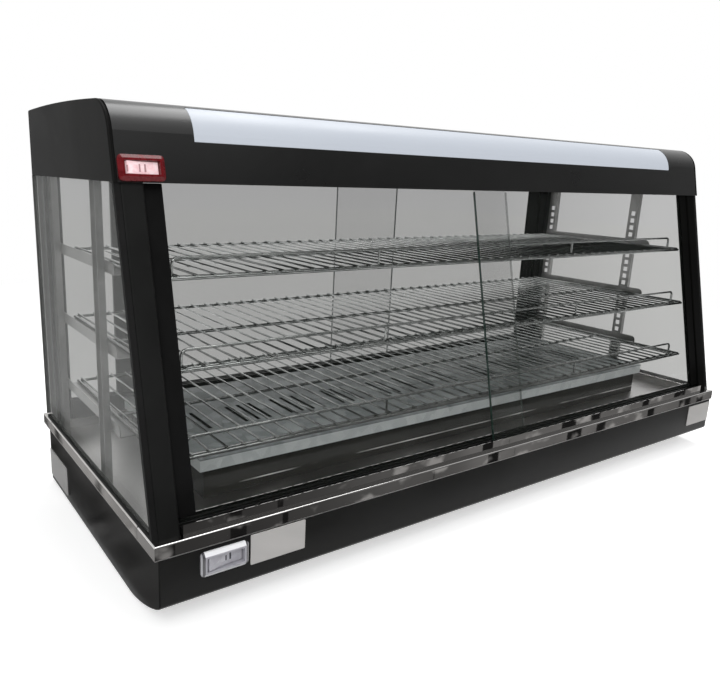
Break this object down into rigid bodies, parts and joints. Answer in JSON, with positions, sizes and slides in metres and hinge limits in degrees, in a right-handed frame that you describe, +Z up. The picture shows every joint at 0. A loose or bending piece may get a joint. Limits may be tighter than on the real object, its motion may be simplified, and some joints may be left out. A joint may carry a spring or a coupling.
{
  "type": "pie warmer",
  "caption": "Counter-top heated display cabinet with a leaning glass front, sliding glass doors at front and rear, wire shelves over a heater and a rounded lit roof.",
  "frame": {"origin": "on the surface it stands on, under the middle of its bounding box", "axes": "+X to the viewer's right along the front, +Y from the leaning front towards the rear, +Z up"},
  "size_m": [1.2, 0.502, 0.596],
  "materials": {
    "black_paint": "satin black powder coat on sheet steel",
    "black_profile": "black anodised extrusion",
    "polished_steel": "mirror polished stainless sheet",
    "galvanised_steel": "spangled galvanised sheet",
    "dark_steel": "dark coated sheet steel",
    "element_steel": "heat-darkened steel tube",
    "chrome_wire": "bright plated wire",
    "clear_glass": "clear toughened glass",
    "black_rubber": "matt black rubber",
    "diffuser_plastic": "translucent white sheet",
    "tube_white": "white coated tube",
    "red_plastic": "glossy translucent red",
    "pale_plastic": "glossy clear over white",
    "black_plastic": "moulded black plastic"
  },
  "bodies": {
    "cabinet": {"base_bottom_plate": "black_paint", "base_housing": "black_paint", "cable_gland": "black_plastic", "ceiling_panel": "black_paint", "deck_plate": "polished_steel", "element_brackets": "dark_steel", "front_bottom_track": "black_profile", "front_fascia": "black_paint", "front_left_post": "black_profile", "front_right_post": "black_profile", "front_sill": "polished_steel", "front_top_track": "black_profile", "front_track_channel": "polished_steel", "heater_box": "dark_steel", "heater_cover": "galvanised_steel", "heating_elements": "element_steel", "lamp_switch_body": "red_plastic", "left_end_cap": "black_paint", "left_side_glass": "clear_glass", "left_side_trim": "polished_steel", "left_uprights": "dark_steel", "light_diffuser": "diffuser_plastic", "light_tube": "tube_white", "light_tube_holders": "black_plastic", "lower_shelf_rails": "dark_steel", "middle_shelf_rails": "dark_steel", "power_switch_body": "pale_plastic", "rear_bottom_track": "black_profile", "rear_left_post": "black_profile", "rear_right_post": "black_profile", "rear_sill": "polished_steel", "rear_top_track": "black_profile", "right_end_cap": "black_paint", "right_side_glass": "clear_glass", "right_side_trim": "polished_steel", "right_uprights": "dark_steel", "roof_cover": "black_paint", "rubber_feet": "black_rubber", "side_glass_gaskets": "black_rubber", "terminal_block": "black_plastic", "thermostat_body": "black_plastic", "top_shelf_rails": "dark_steel"},
    "front_left_door": {"front_left_door_glass": "clear_glass", "front_left_door_stile": "black_profile"},
    "front_right_door": {"front_right_door_glass": "clear_glass", "front_right_door_stile": "black_profile"},
    "rear_left_door": {"rear_left_door_glass": "clear_glass", "rear_left_door_pull": "black_profile"},
    "rear_right_door": {"rear_right_door_glass": "clear_glass", "rear_right_door_pull": "black_profile"},
    "top_shelf_unit": {"top_shelf": "chrome_wire", "top_shelf_guard": "chrome_wire"},
    "middle_shelf_unit": {"middle_shelf": "chrome_wire", "middle_shelf_guard": "chrome_wire"},
    "lower_shelf_unit": {"lower_shelf": "chrome_wire", "lower_shelf_guard": "chrome_wire"},
    "lamp_rocker": {"lamp_switch_rocker": "red_plastic"},
    "power_rocker": {"power_switch_rocker": "pale_plastic"},
    "thermostat_dial": {"thermostat_knob": "black_plastic"}
  },
  "joints": [
    {"name": "front_left_door_slide", "type": "slide", "parent": "cabinet", "child": "front_left_door", "axis": [1, 0, 0], "range_m": [0, 0.523]},
    {"name": "front_right_door_slide", "type": "slide", "parent": "cabinet", "child": "front_right_door", "axis": [-1, 0, 0], "range_m": [0, 0.523]},
    {"name": "rear_left_door_slide", "type": "slide", "parent": "cabinet", "child": "rear_left_door", "axis": [1, 0, 0], "range_m": [-0.078, 0.445]},
    {"name": "rear_right_door_slide", "type": "slide", "parent": "cabinet", "child": "rear_right_door", "axis": [-1, 0, 0], "range_m": [0, 0.523]},
    {"name": "top_shelf_lift", "type": "slide", "parent": "cabinet", "child": "top_shelf_unit", "axis": [0, 0, 1], "range_m": [0, 0.01]},
    {"name": "middle_shelf_lift", "type": "slide", "parent": "cabinet", "child": "middle_shelf_unit", "axis": [0, 0, 1], "range_m": [0, 0.01]},
    {"name": "lower_shelf_lift", "type": "slide", "parent": "cabinet", "child": "lower_shelf_unit", "axis": [0, 0, 1], "range_m": [0, 0.01]},
    {"name": "lamp_rocker_tilt", "type": "hinge", "parent": "cabinet", "child": "lamp_rocker", "pos_m": [-0.5668, -0.14204, 0.51653], "axis": [0, -0.225, -0.9744], "range_deg": [0, 14]},
    {"name": "power_rocker_tilt", "type": "hinge", "parent": "cabinet", "child": "power_rocker", "pos_m": [-0.515, -0.242, 0.0775], "axis": [0, 0, -1], "range_deg": [0, 14]},
    {"name": "thermostat_turn", "type": "hinge", "parent": "cabinet", "child": "thermostat_dial", "pos_m": [0.47, 0.235, 0.056], "axis": [0, -1, 0], "range_deg": [0, 270]}
  ]
}
